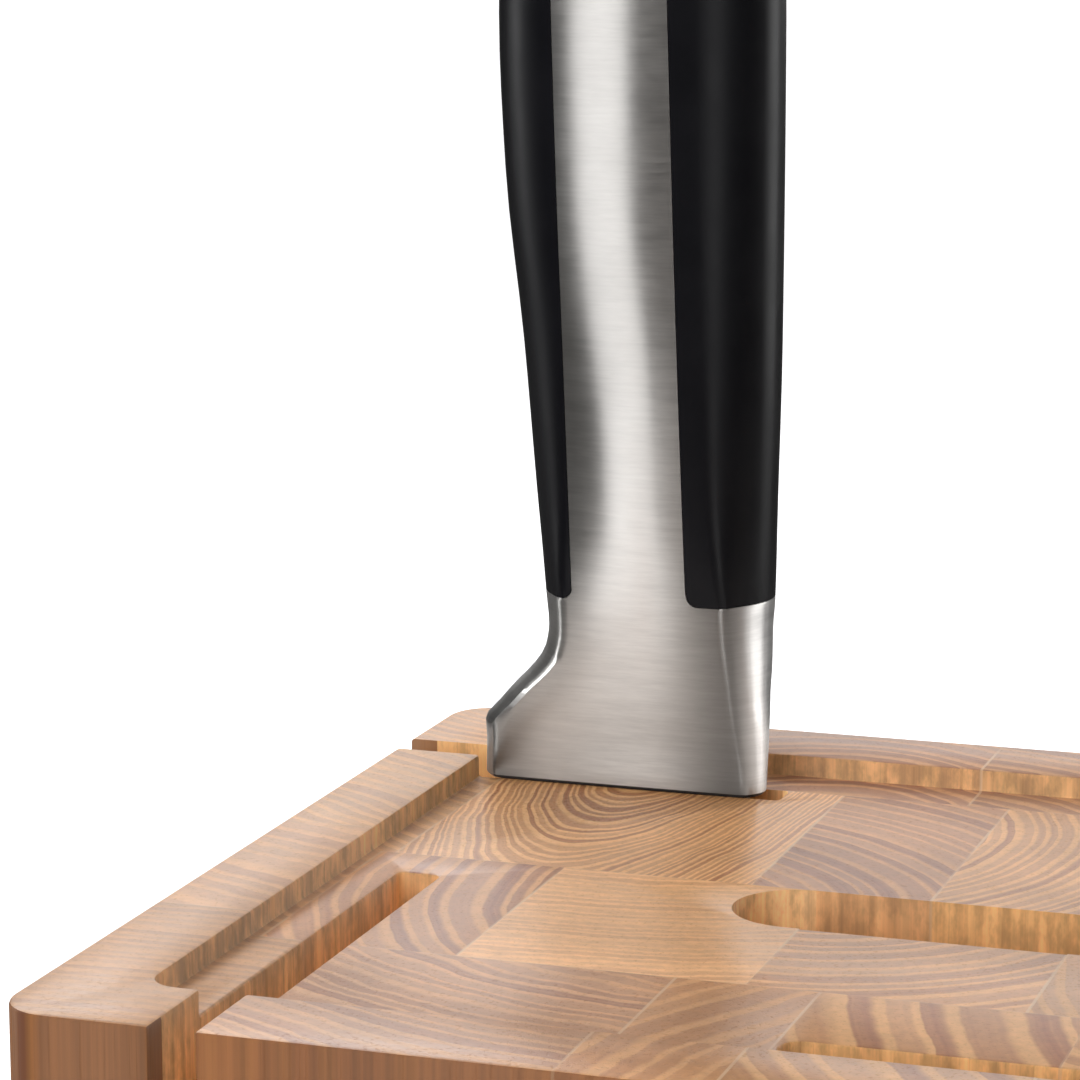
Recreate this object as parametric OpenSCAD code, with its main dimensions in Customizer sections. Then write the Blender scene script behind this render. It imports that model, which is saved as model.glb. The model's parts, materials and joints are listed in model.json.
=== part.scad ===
// Knife block with knives: a square block of end-grain staves with a raised rim, edge slots,
// a steel slot in the middle and two lift-out knives. Millimetres, +Z up, origin at the base centre.

/* [Block] */
// Width of the block, left to right
block_width = 120; // [96:1:150]
// Depth of the block, front to back
block_depth = 120; // [96:1:150]
// Height from the table to the top of the rim
block_height = 232; // [190:1:290]
// Radius of the upright outer corners
corner_radius = 5; // [2:0.5:10]
// Width of the raised rim at the left and right
rim_side = 9.5; // [7:0.1:14]
// Width of the raised rim at the front and back
rim_front = 11.1; // [7:0.1:14]
// Depth of the tray inside the rim
recess_depth = 2.4; // [1.5:0.1:5]
// Corner radius of the tray
recess_corner = 3; // [1:0.5:6]

/* [Staves] */
// Back edge of the front row, as a share of the depth
row_front_share = 0.29; // [0.2:0.005:0.35]
// Left edges of the front row's inner staves, as shares of the width
front_joints = [0.14, 0.4225, 0.534, 0.735];
// Left edges of the middle row's inner staves, as shares of the width
middle_joints = [0.0875, 0.248, 0.4767, 0.688];
// Left edges of the back row's inner staves, as shares of the width
back_joints = [0.10, 0.4083, 0.5567, 0.77];
// Left edges of the rear row's inner staves, as shares of the width
rear_joints = [0.27, 0.52, 0.75];

/* [Slots] */
// Width of the four knife slots
slot_width = 4.3; // [3.6:0.1:6]
// Centre of the left and right slots, from the block's sides
slot_inset_side = 16.9; // [15:0.1:22]
// Centre of the front slot, from the front face
slot_inset_front = 18.9; // [15:0.1:22]
// Centre of the rear slot, from the back face
slot_inset_back = 19.6; // [15:0.1:22]
// Length of the empty left slot
left_slot_length = 59.8; // [40:0.5:70]
// Length of the empty front slot
front_slot_length = 55.5; // [40:0.5:66]
// Corner radius at a knife slot's closed end
slot_end_radius = 0.8; // [0.3:0.1:1.5]
// Width of the steel slot in the middle
steel_slot_width = 12.9; // [9:0.1:18]
// Distance along the width from the rear slot's closed end to the steel slot
steel_slot_gap = 6; // [3:0.5:12]
// How far the steel slot's centreline stands in front of the block's middle
steel_slot_shift = 0.25; // [0:0.05:3]
// Length of the steel slot
steel_slot_length = 54; // [40:0.5:64]
// Wood left below the slots
slot_floor = 10; // [6:0.5:20]

/* [Base] */
// Thickness of the base plate
plate_thickness = 8; // [5:0.5:12]
// How far the plate stands in from the block's faces
plate_inset = 3; // [1:0.5:8]
// Height of the rubber feet
foot_height = 4; // [2.5:0.5:8]
// Radius of the rubber feet
foot_radius = 9; // [6:0.5:14]
// Centre of each foot from the block's faces
foot_inset = 18; // [14:0.5:26]
// Radius of the foot screws
screw_radius = 2; // [1.5:0.1:3]
// How far the screws reach into the staves
screw_bite = 7; // [4:0.5:9]

/* [Knives] */
// Gap between the first blade's tip and the slot's floor
tip_gap = 9.6; // [4:0.1:40]
// How much shorter the second blade is
second_blade_shorter = 20; // [0:1:60]
// Width of the blade at the heel
blade_width = 27.5; // [20:0.5:32]
// Thickness of the blade at the spine
blade_thickness = 2.4; // [1.6:0.1:3]
// Length of the handle with its bolster, up to the butt cap
handle_length = 116; // [100:1:140]
// Height of the butt cap
cap_height = 9; // [6:0.5:14]
// Width of the bolster where it rests on the tray
bolster_width = 31.3; // [28:0.1:38]
// Half of the bolster's thickness at the bottom
bolster_half = 2.75; // [2.5:0.05:4]
// Width of the neck above the finger guard
neck_width = 24.3; // [20:0.1:30]
// Half of the handle's thickness at the neck
neck_half = 7.7; // [6:0.1:11]
// Width of the handle at its fullest
palm_width = 30.6; // [26:0.1:38]
// Half of the handle's thickness at its fullest
palm_half = 9.5; // [7:0.1:12]
// Height of the lower end of the black grips above the tray
grip_start = 21.3; // [18:0.1:28]
// Width of the steel band between the grips
band_width = 12.5; // [10:0.1:18]

/* [Fits] */
// Clearance between pieces of one knife and round screws
fit_clearance = 0.05; // [0.02:0.01:0.1]
// Seam between the grips and the steel frame
grip_seam = 0.06; // [0.02:0.01:0.2]
// Gap between the bolster's spine side and the slot's closed end
spine_gap = 2.1; // [1:0.1:4]
// Gap between the bolster's guard and the rim
guard_gap = 0.15; // [0.1:0.05:1]
// Undercut round the bolster's foot
foot_undercut = 0.4; // [0.2:0.05:0.45]

/* [Hidden] */
$fn = 96;
eps = 0.01;
half_w = block_width / 2;
half_d = block_depth / 2;
stave_z = foot_height + plate_thickness;
slot_z = stave_z + slot_floor;
tray_z = block_height - recess_depth;
row_edges = [0, row_front_share * block_depth,
             half_d - steel_slot_shift + steel_slot_width / 2,
             block_depth - slot_inset_back + slot_width / 2, block_depth];
rear_slot_length = rim_side + guard_gap + bolster_width + spine_gap;
right_slot_length = rim_front + guard_gap + bolster_width + spine_gap;
steel_slot_x = -half_w + rear_slot_length + steel_slot_gap;
left_slot_x = -half_w + slot_inset_side;
right_slot_x = half_w - slot_inset_side;
front_slot_y = -half_d + slot_inset_front;
rear_slot_y = half_d - slot_inset_back;
blade_length = tray_z - slot_z - tip_gap;
second_blade_length = blade_length - second_blade_shorter;
grip_corner = 1.3;
corner_overrun = 0.2;
tang_width = 8;
tang_top = handle_length - 14;
stud_radius = 3.2;
stud_top = handle_length - 1;
stud_overlap = 4;
cap_screw_radius = 1.6;
cap_screw_head = 3;
cap_screw_bite = 8;
blade_edge = 0.25;

// ---- Block ----

// A rectangle with rounded corners, drawn from arcs and straight lines
module rounded_rect(low, high, r) {
    translate([low[0] + r, low[1]]) square([high[0] - low[0] - 2 * r, high[1] - low[1]]);
    translate([low[0], low[1] + r]) square([high[0] - low[0], high[1] - low[1] - 2 * r]);
    for (x = [low[0] + r, high[0] - r], y = [low[1] + r, high[1] - r])
        translate([x, y]) circle(r);
}

// Plan of all five slots
module slots_plan() {
    half = slot_width / 2;
    r = slot_end_radius;
    rounded_rect([-half_w - 2 * r, rear_slot_y - half],
                 [-half_w + rear_slot_length, rear_slot_y + half], r);
    rounded_rect([left_slot_x - half, -half_d - 2 * r],
                 [left_slot_x + half, -half_d + left_slot_length], r);
    rounded_rect([right_slot_x - half, half_d - right_slot_length],
                 [right_slot_x + half, half_d + 2 * r], r);
    rounded_rect([half_w - front_slot_length, front_slot_y - half],
                 [half_w + 2 * half, front_slot_y + half], half - eps);
    rounded_rect([steel_slot_x, -steel_slot_shift - steel_slot_width / 2],
                 [steel_slot_x + steel_slot_length, -steel_slot_shift + steel_slot_width / 2],
                 steel_slot_width / 2 - eps);
}

// Centres of the four feet
foot_x = half_w - foot_inset;
foot_y = half_d - foot_inset;

// One upright stave between two edges of its row, with the tray, slots and screw holes cut in
module stave(row, from_share, to_share) {
    low = [-half_w + from_share * block_width, -half_d + row_edges[row]];
    high = [-half_w + to_share * block_width, -half_d + row_edges[row + 1]];
    color("#c08a55") difference() {
        translate([0, 0, stave_z]) linear_extrude(block_height - stave_z) intersection() {
            rounded_rect([-half_w, -half_d], [half_w, half_d], corner_radius);
            translate(low) square(high - low);
        }
        translate([0, 0, tray_z]) linear_extrude(recess_depth + 1)
            rounded_rect([-half_w + rim_side, -half_d + rim_front],
                         [half_w - rim_side, half_d - rim_front], recess_corner);
        translate([0, 0, slot_z]) linear_extrude(block_height - slot_z + 1) slots_plan();
        for (x = [-foot_x, foot_x], y = [-foot_y, foot_y])
            translate([x, y, stave_z - 1])
                cylinder(h = screw_bite + 1.5, r = screw_radius + fit_clearance);
    }
}

module stave_front_1() { stave(0, 0, front_joints[0]); }
module stave_front_2() { stave(0, front_joints[0], front_joints[1]); }
module stave_front_3() { stave(0, front_joints[1], front_joints[2]); }
module stave_front_4() { stave(0, front_joints[2], front_joints[3]); }
module stave_front_5() { stave(0, front_joints[3], 1); }
module stave_middle_1() { stave(1, 0, middle_joints[0]); }
module stave_middle_2() { stave(1, middle_joints[0], middle_joints[1]); }
module stave_middle_3() { stave(1, middle_joints[1], middle_joints[2]); }
module stave_middle_4() { stave(1, middle_joints[2], middle_joints[3]); }
module stave_middle_5() { stave(1, middle_joints[3], 1); }
module stave_back_1() { stave(2, 0, back_joints[0]); }
module stave_back_2() { stave(2, back_joints[0], back_joints[1]); }
module stave_back_3() { stave(2, back_joints[1], back_joints[2]); }
module stave_back_4() { stave(2, back_joints[2], back_joints[3]); }
module stave_back_5() { stave(2, back_joints[3], 1); }
module stave_rear_1() { stave(3, 0, rear_joints[0]); }
module stave_rear_2() { stave(3, rear_joints[0], rear_joints[1]); }
module stave_rear_3() { stave(3, rear_joints[1], rear_joints[2]); }
module stave_rear_4() { stave(3, rear_joints[2], 1); }

// ---- Base ----

module base_plate() {
    color("#a87646") difference() {
        translate([0, 0, foot_height]) linear_extrude(plate_thickness)
            rounded_rect([-half_w + plate_inset, -half_d + plate_inset],
                         [half_w - plate_inset, half_d - plate_inset], corner_radius);
        for (x = [-foot_x, foot_x], y = [-foot_y, foot_y])
            translate([x, y, foot_height - 1])
                cylinder(h = plate_thickness + 2, r = screw_radius + fit_clearance);
    }
}

// A rubber foot with a counterbore that keeps the screw's head off the table
module foot(sx, sy) {
    color("#202022") translate([sx * foot_x, sy * foot_y, 0]) difference() {
        cylinder(h = foot_height, r = foot_radius);
        translate([0, 0, -1]) cylinder(h = foot_height + 2, r = screw_radius + fit_clearance);
        translate([0, 0, -1]) cylinder(h = foot_height / 2 + 1 + fit_clearance, r = 2.2 * screw_radius);
    }
}

module foot_screw(sx, sy) {
    head = 2 * screw_radius;
    color("#9a9a9c") translate([sx * foot_x, sy * foot_y, 0]) difference() {
        union() {
            translate([0, 0, foot_height / 2])
                cylinder(h = foot_height / 2 + plate_thickness + screw_bite, r = screw_radius);
            translate([0, 0, foot_height / 4]) cylinder(h = foot_height / 4, r = head);
        }
        translate([-head / 2, -head / 10, 0]) cube([head, head / 5, foot_height / 4 + foot_height / 8]);
    }
}

module foot_front_left() { foot(-1, -1); }
module foot_front_right() { foot(1, -1); }
module foot_back_left() { foot(-1, 1); }
module foot_back_right() { foot(1, 1); }
module foot_screw_front_left() { foot_screw(-1, -1); }
module foot_screw_front_right() { foot_screw(1, -1); }
module foot_screw_back_left() { foot_screw(-1, 1); }
module foot_screw_back_right() { foot_screw(1, 1); }

// ---- Knives ----
// Each knife is drawn with its bolster on z = 0, the spine towards +X and x = 0 at the slot's
// closed end, and is then set into its slot.

// Control stations of the handle: height, belly side, spine side, half thickness, how far the
// crease stands in from each side, how much the face falls away towards it and how soft it is
spine_x = -spine_gap;
guard_x = spine_x - bolster_width;
neck_x = spine_x + 0.4 - neck_width;
palm_x = spine_x + 1.1 - palm_width;
stations = [
    [0, guard_x + foot_undercut, spine_x - foot_undercut, bolster_half - foot_undercut, 1.4, 0.05, 0],
    [foot_undercut, guard_x, spine_x, bolster_half, 1.7, 0.05, 0],
    [4.2, guard_x + 0.1, spine_x + 0.15, bolster_half + 0.85, 2, 0.05, 0],
    [6.2, guard_x, spine_x + 0.2, bolster_half + 1.45, 2.2, 0.05, 0],
    [8.6, guard_x + 1.8, spine_x + 0.25, neck_half - 2.7, 2.4, 0.055, 0],
    [11, guard_x + 3.9, spine_x + 0.25, neck_half - 2, 2.6, 0.06, 0],
    [13, guard_x + 5.8, spine_x + 0.35, neck_half - 1.5, 2.8, 0.06, 0],
    [15, neck_x - 0.4, spine_x + 0.4, neck_half - 1, 3, 0.065, 0],
    [17.6, neck_x, spine_x + 0.4, neck_half - 0.5, 3.2, 0.07, 0],
    [21, neck_x - 0.3, spine_x + 0.6, neck_half, 3.5, 0.07, 0],
    [32, neck_x - 1.4, spine_x + 0.8, neck_half + 0.9, 4.2, 0.09, 0.5],
    [48, neck_x - 2.85, spine_x + 1.1, palm_half - 0.3, 5, 0.11, 0.75],
    [66, palm_x + 0.7, spine_x + 1.15, palm_half, 5.6, 0.13, 0.8],
    [82, palm_x, spine_x + 1.1, palm_half, 5.8, 0.13, 0.8],
    [98, palm_x + 0.4, spine_x + 0.5, palm_half - 0.4, 5.6, 0.13, 0.8],
    [handle_length, palm_x + 1.4, spine_x - 1.2, palm_half - 1.1, 5.2, 0.12, 0.7],
    [handle_length + cap_height * 0.55, palm_x + 1.5, spine_x - 2.8, palm_half - 1.5, 5, 0.12, 0.6],
    [handle_length + cap_height * 0.85, palm_x + 2.2, spine_x - 4, palm_half - 2.3, 4.8, 0.14, 0.6],
    [handle_length + cap_height, palm_x + 3.8, spine_x - 5.8, palm_half - 4.2, 4.4, 0.16, 0.6],
];
last = len(stations) - 1;
grip_first = 8;
cap_first = 15;
grip_end = handle_length - 3.5;

// A smooth curve through four station values (0 <= t <= 1 between b and c), slopes by spacing
function hermite(b, c, mb, mc, t) =
    b * (2 * t * t * t - 3 * t * t + 1) + mb * (t * t * t - 2 * t * t + t)
    + c * (3 * t * t - 2 * t * t * t) + mc * (t * t * t - t * t);
function slope(i) = i == 0 ? gap_slope(0) : i == last ? gap_slope(last - 1) :
    [for (k = [0:6]) damped(gap_slope(i - 1)[k], gap_slope(i)[k])];
function gap_slope(i) = (stations[i + 1] - stations[i]) / (stations[i + 1][0] - stations[i][0]);
function damped(a, b) = a * b <= 0 ? 0 : 2 * a * b / (a + b);
function section_at(i, t) = let (h = stations[i + 1][0] - stations[i][0])
    [for (k = [0:6]) k == 0 ? stations[i][0] + t * h
        : hermite(stations[i][k], stations[i + 1][k], slope(i)[k] * h, slope(i + 1)[k] * h, t)];
function steps_in(i) = let (h = stations[i + 1][0] - stations[i][0]) h > 8 ? 4 : h > 2 ? 3 : 2;
function sections(first, final) = [
    for (i = [first:final - 1], j = [0:steps_in(i) - 1]) section_at(i, j / steps_in(i)),
    stations[final]];

// One ring of points round the handle, counter-clockwise seen from above: crowned faces and
// sides that meet in four creases. The shares say where along a side or a face the points stand.
side_shares = [0, 0.22, 0.44, 0.64, 0.79, 0.87, 0.94];
face_shares = [0.965, 0.9, 0.8, 0.6, 0.3];
function half_ring(hx, hy, inset, crown) = let (xe = hx - inset, ye = hy * (1 - crown)) concat(
    [for (t = side_shares) [xe + inset * (1 - t * t), ye * t]],
    [for (t = face_shares) [xe * t, hy * (1 - crown * t * t)]],
    [[0, hy]],
    [for (i = [len(face_shares) - 1:-1:0]) let (t = face_shares[i]) [-xe * t, hy * (1 - crown * t * t)]],
    [for (i = [len(side_shares) - 1:-1:1]) let (t = side_shares[i])
        [-xe - inset * (1 - t * t), ye * t]]);
function softened(p, hx, hy, soft) = p * (1 - soft * (1 - 1 / norm([p[0] / hx, p[1] / hy])));
function ring(s) = let (cx = (s[1] + s[2]) / 2, hx = (s[2] - s[1]) / 2)
    [for (turn = [1, -1], p = half_ring(hx, s[3], s[4], s[5]))
        let (q = turn * softened(p, hx, s[3], s[6])) [cx + q[0], q[1], s[0]]];
ring_size = 4 * (len(side_shares) + len(face_shares));

// The handle's outline between two stations
module handle_loft(first, final) {
    rings = [for (s = sections(first, final)) ring(s)];
    n = len(rings);
    points = [for (r = rings) for (p = r) p];
    sides = [for (k = [0:n - 2], i = [0:ring_size - 1])
        let (a = k * ring_size + i, b = k * ring_size + (i + 1) % ring_size)
        each [[a, a + ring_size, b], [b, a + ring_size, b + ring_size]]];
    polyhedron(points, concat([[for (i = [0:ring_size - 1]) i]], sides,
        [[for (i = [ring_size - 1:-1:0]) (n - 1) * ring_size + i]]));
}

// Centreline of the steel band, which leans towards the belly as it rises
band_low = spine_x - 13;
band_high = band_low - 3;
function band_at(z) = band_low + (band_high - band_low) * (z - grip_start) / (grip_end - grip_start);

// Side view of a grip: everything beyond the band's edge, with a rounded lower corner
module grip_side(side, seam) {
    inner_low = band_at(grip_start) + side * (band_width / 2 + seam);
    inner_high = band_at(grip_end) + side * (band_width / 2 + seam);
    out = side * palm_width;
    low = grip_start + seam;
    high = grip_end - seam;
    r = grip_corner;
    over = corner_overrun;
    difference() {
        polygon([[inner_low, low], [out + inner_low, low], [out + inner_low, high], [inner_high, high]]);
        translate([inner_low - (side > 0 ? over : r), low - over]) difference() {
            square([r + over, r + over]);
            translate([side > 0 ? r + over : 0, r + over]) circle(r);
        }
        translate([inner_high - (side > 0 ? over : r), high - r]) difference() {
            square([r + over, r + over]);
            translate([side > 0 ? r + over : 0, 0]) circle(r);
        }
    }
}

// A side view swept through the handle's thickness
module through(depth) {
    rotate([90, 0, 0]) translate([0, 0, -depth / 2]) linear_extrude(depth) children();
}

// Room for the tang and its stud inside the steel frame
tang_x = (band_low + band_high) / 2;
module tang_pocket(gap) {
    translate([tang_x - tang_width / 2 - gap, -blade_thickness / 2 - gap, -1])
        cube([tang_width + 2 * gap, blade_thickness + 2 * gap, tang_top + 1 + gap]);
    translate([tang_x, 0, tang_top - stud_overlap - gap])
        cylinder(h = stud_top - tang_top + stud_overlap + gap, r = stud_radius + gap);
}

module knife_frame() {
    color("#b4b2af") difference() {
        handle_loft(0, cap_first);
        through(palm_width) grip_side(1, 0);
        through(palm_width) grip_side(-1, 0);
        tang_pocket(fit_clearance);
        translate([tang_x, 0, stud_top - 2]) cylinder(h = 5, r = stud_radius + fit_clearance);
    }
}

module knife_grip(side) {
    color("#141416") intersection() {
        handle_loft(grip_first, cap_first);
        through(palm_width) grip_side(side, grip_seam);
    }
}

module knife_cap() {
    color("#b4b2af") difference() {
        handle_loft(cap_first, last);
        translate([tang_x, 0, handle_length - 1])
            cylinder(h = cap_height + 2, r = cap_screw_radius + fit_clearance);
        translate([tang_x, 0, handle_length + cap_height / 2])
            cylinder(h = cap_height, r = cap_screw_head + 2 * fit_clearance);
    }
}

module knife_cap_screw() {
    color("#8f8f92") difference() {
        union() {
            translate([tang_x, 0, stud_top - cap_screw_bite])
                cylinder(h = cap_screw_bite + 1 + cap_height / 2 + eps, r = cap_screw_radius);
            translate([tang_x, 0, handle_length + cap_height / 2])
                cylinder(h = cap_height / 3, r = cap_screw_head);
        }
        translate([tang_x - cap_screw_head - 1, -0.4, handle_length + cap_height * 0.72])
            cube([2 * cap_screw_head + 2, 0.8, cap_height]);
    }
}

// A blade with a full-height grind, a curved tip and the tang that holds it in the handle
module knife_blade(length) {
    heel = spine_x - 2;
    edge = heel - blade_width;
    tip_r = blade_width * 2.6;
    color("#c4c4c6") {
        intersection() {
            translate([0, 0, -length]) linear_extrude(length) polygon([
                [heel, -blade_thickness / 2], [heel, blade_thickness / 2],
                [heel - blade_width * 0.3, blade_thickness / 2],
                [edge + 2, blade_edge + 0.2], [edge, blade_edge / 2],
                [edge, -blade_edge / 2], [edge + 2, -blade_edge - 0.2],
                [heel - blade_width * 0.3, -blade_thickness / 2]]);
            through(4 * blade_thickness) union() {
                translate([edge, -length + blade_width * 1.8]) square([blade_width, length]);
                intersection() {
                    translate([edge, -length]) square([blade_width, length]);
                    translate([edge + tip_r, -length + blade_width * 1.8]) circle(tip_r);
                    translate([heel - tip_r, -length + blade_width * 1.8]) circle(tip_r);
                }
            }
        }
        difference() {
            tang_pocket(0);
            translate([tang_x, 0, stud_top - cap_screw_bite - 1])
                cylinder(h = cap_screw_bite + 2, r = cap_screw_radius + fit_clearance);
        }
    }
}

// The first knife stands in the rear slot, the second in the right slot
module place_1() { translate([-half_w + rear_slot_length, rear_slot_y, tray_z]) children(); }
module place_2() {
    translate([right_slot_x, half_d - right_slot_length, tray_z]) rotate([0, 0, -90]) children();
}

module knife_1_blade() { place_1() knife_blade(blade_length); }
module knife_1_frame() { place_1() knife_frame(); }
module knife_1_spine_grip() { place_1() knife_grip(1); }
module knife_1_belly_grip() { place_1() knife_grip(-1); }
module knife_1_cap() { place_1() knife_cap(); }
module knife_1_cap_screw() { place_1() knife_cap_screw(); }
module knife_2_blade() { place_2() knife_blade(second_blade_length); }
module knife_2_frame() { place_2() knife_frame(); }
module knife_2_spine_grip() { place_2() knife_grip(1); }
module knife_2_belly_grip() { place_2() knife_grip(-1); }
module knife_2_cap() { place_2() knife_cap(); }
module knife_2_cap_screw() { place_2() knife_cap_screw(); }

stave_front_1();
stave_front_2();
stave_front_3();
stave_front_4();
stave_front_5();
stave_middle_1();
stave_middle_2();
stave_middle_3();
stave_middle_4();
stave_middle_5();
stave_back_1();
stave_back_2();
stave_back_3();
stave_back_4();
stave_back_5();
stave_rear_1();
stave_rear_2();
stave_rear_3();
stave_rear_4();
base_plate();
foot_front_left();
foot_front_right();
foot_back_left();
foot_back_right();
foot_screw_front_left();
foot_screw_front_right();
foot_screw_back_left();
foot_screw_back_right();
knife_1_blade();
knife_1_frame();
knife_1_spine_grip();
knife_1_belly_grip();
knife_1_cap();
knife_1_cap_screw();
knife_2_blade();
knife_2_frame();
knife_2_spine_grip();
knife_2_belly_grip();
knife_2_cap();
knife_2_cap_screw();
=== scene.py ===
import json
import math
import bmesh
import bpy
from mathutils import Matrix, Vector

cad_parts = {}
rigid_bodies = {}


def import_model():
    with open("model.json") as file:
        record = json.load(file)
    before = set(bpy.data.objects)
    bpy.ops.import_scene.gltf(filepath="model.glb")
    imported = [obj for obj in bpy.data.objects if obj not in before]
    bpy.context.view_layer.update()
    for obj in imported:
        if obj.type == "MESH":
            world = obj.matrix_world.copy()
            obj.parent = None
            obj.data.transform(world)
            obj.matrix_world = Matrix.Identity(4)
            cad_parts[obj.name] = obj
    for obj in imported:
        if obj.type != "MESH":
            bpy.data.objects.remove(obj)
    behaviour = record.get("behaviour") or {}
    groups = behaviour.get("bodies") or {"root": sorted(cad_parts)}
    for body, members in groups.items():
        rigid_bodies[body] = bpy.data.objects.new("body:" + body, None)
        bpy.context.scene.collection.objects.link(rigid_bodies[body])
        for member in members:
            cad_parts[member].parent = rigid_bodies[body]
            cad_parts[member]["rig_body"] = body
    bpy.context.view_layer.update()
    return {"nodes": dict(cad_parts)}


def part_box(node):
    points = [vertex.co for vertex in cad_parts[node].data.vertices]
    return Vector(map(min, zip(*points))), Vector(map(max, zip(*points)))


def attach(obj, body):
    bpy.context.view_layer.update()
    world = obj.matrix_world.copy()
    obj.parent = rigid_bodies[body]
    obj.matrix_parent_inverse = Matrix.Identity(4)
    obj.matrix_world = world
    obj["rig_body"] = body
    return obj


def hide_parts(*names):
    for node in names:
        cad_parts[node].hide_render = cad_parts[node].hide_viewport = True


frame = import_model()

# Knife block with knives: end-grain staves, satin steel handles with black grips.
# Lengths are in metres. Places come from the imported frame's own boxes.

MM = 0.001
MERGE_WITHIN = 0.002 * MM
FLAT_DEGREES = 0.2
BLOCK_LOW = Vector(map(min, *(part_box(n)[0] for n in ("stave_front_1", "stave_rear_4"))))
BLOCK_HIGH = Vector(map(max, *(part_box(n)[1] for n in ("stave_front_1", "stave_rear_4"))))
TRAY_Z = min(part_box("knife_1_frame")[0].z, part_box("knife_2_frame")[0].z)
# The bolster's steel is painted as a dark shadow line up to this height over the tray.
FOOT_GAP = 0.36 * MM
RIM_Z = BLOCK_HIGH.z
ROWS = {"front": 5, "middle": 5, "back": 5, "rear": 4}
FEET = ("front_left", "front_right", "back_left", "back_right")
KNIVES = (1, 2)

# Light. All brightnesses are radiances. The backdrop and the ceiling glow where a direction's
# share along BACKDROP_SIDE, or straight up, rises through the two limits given.
FLOOR_GLOW = 0.75
ROOM_GLOW = 0.055
BACKDROP_GLOW = 1.25
BACKDROP_SIDE = (0.259, 0.966, 0)
BACKDROP_LIMITS = (0.58, 0.72)
CEILING_GLOW = 0.45
CEILING_LIMITS = (0.5, 0.9)

# Soft lights aimed at the rim: place, size, radiance, and whether polished pieces see them
SOFT_LIGHTS = {
    "top_softbox": ((-0.5, -0.95, 1.5), (1.0, 1.0), 2.6, False),
    "front_fill": ((-0.4, -1.5, 0.5), (1.2, 0.8), 2.6, False),
    "back_softbox": ((-0.95, 1.1, 1.25), (1.0, 0.7), 3.4, True),
}

# Upright strips that only reflections see: bearing, distance, width, foot, head and radiance
STRIPS = (
    ("left_front_strip", -113.5, 0.51, 0.29, 0.0, 0.8, 1.12),
    ("right_front_strip", -47, 1.5, 0.14, 0.02, 1.2, 7.0),
    ("right_back_strip", 35, 1.5, 0.6, 0.02, 1.2, 2.6),
    ("left_strip", -186, 1.5, 0.25, 0.02, 1.2, 3.5),
)


# ---- Small helpers -------------------------------------------------------------------------

def select_only(piece):
    """Deselects everything, then makes one piece the active, selected object."""
    bpy.ops.object.select_all(action="DESELECT")
    piece.select_set(True)
    bpy.context.view_layer.objects.active = piece


def copy_of_node(node, name):
    """A separate copy of a CAD node with its loose triangles merged, standing for the node."""
    source = frame["nodes"][node]
    body = source["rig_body"]
    mesh = source.data.copy()
    mesh.name = name
    mesh.materials.clear()
    piece = bpy.data.objects.new(name, mesh)
    bpy.context.scene.collection.objects.link(piece)
    if mesh.has_custom_normals:
        select_only(piece)
        bpy.ops.mesh.customdata_custom_splitnormals_clear()
    select_only(piece)
    bpy.ops.object.mode_set(mode="EDIT")
    bpy.ops.mesh.select_all(action="SELECT")
    bpy.ops.mesh.remove_doubles(threshold=MERGE_WITHIN)
    bpy.ops.object.mode_set(mode="OBJECT")
    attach(piece, body)
    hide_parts(node)
    return piece


def dissolve_flat(piece):
    """Joins the coplanar triangles of a piece's flat faces."""
    select_only(piece)
    bpy.ops.object.mode_set(mode="EDIT")
    bpy.ops.mesh.select_all(action="SELECT")
    bpy.ops.mesh.dissolve_limited(angle_limit=math.radians(FLAT_DEGREES))
    bpy.ops.object.mode_set(mode="OBJECT")


def bevel_edges(piece, width, wanted, segments=2):
    """Rounds the edges of a piece that the test picks out."""
    select_only(piece)
    bpy.ops.object.mode_set(mode="EDIT")
    bpy.ops.mesh.select_mode(type="EDGE")
    bpy.ops.mesh.select_all(action="DESELECT")
    mesh = bmesh.from_edit_mesh(piece.data)
    for edge in mesh.edges:
        edge.select_set(bool(edge.is_manifold and wanted(edge)))
    bmesh.update_edit_mesh(piece.data)
    bpy.ops.mesh.bevel(offset=width, segments=segments, affect="EDGES", clamp_overlap=True)
    bpy.ops.object.mode_set(mode="OBJECT")


def smooth(piece, degrees):
    """Smooth shading, with edges sharper than the angle left crisp."""
    select_only(piece)
    bpy.ops.object.shade_smooth_by_angle(angle=math.radians(degrees))


def sharp(edge, degrees):
    """Whether an edge's faces meet at more than the angle."""
    return edge.calc_face_angle(0) > math.radians(degrees)


# ---- Node helpers --------------------------------------------------------------------------

def link(tree, out, into):
    """Joins an output socket to an input socket."""
    tree.links.new(out, into)


def math_node(tree, operation, a, b=None):
    """One sum on numbers or sockets."""
    n = tree.nodes.new("ShaderNodeMath")
    n.operation = operation
    for socket, value in zip(n.inputs, (a, b)):
        if value is None:
            continue
        if isinstance(value, (int, float)):
            socket.default_value = value
        else:
            link(tree, value, socket)
    return n.outputs[0]


def range_node(tree, value, low, high, to_low=0.0, to_high=1.0, smoothstep=True):
    """A value carried from one range to another, held at both ends."""
    n = tree.nodes.new("ShaderNodeMapRange")
    n.interpolation_type = "SMOOTHSTEP" if smoothstep else "LINEAR"
    for name, v in (("From Min", low), ("From Max", high), ("To Min", to_low), ("To Max", to_high)):
        if isinstance(v, (int, float)):
            n.inputs[name].default_value = v
        else:
            link(tree, v, n.inputs[name])
    link(tree, value, n.inputs["Value"])
    return n.outputs["Result"]


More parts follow.
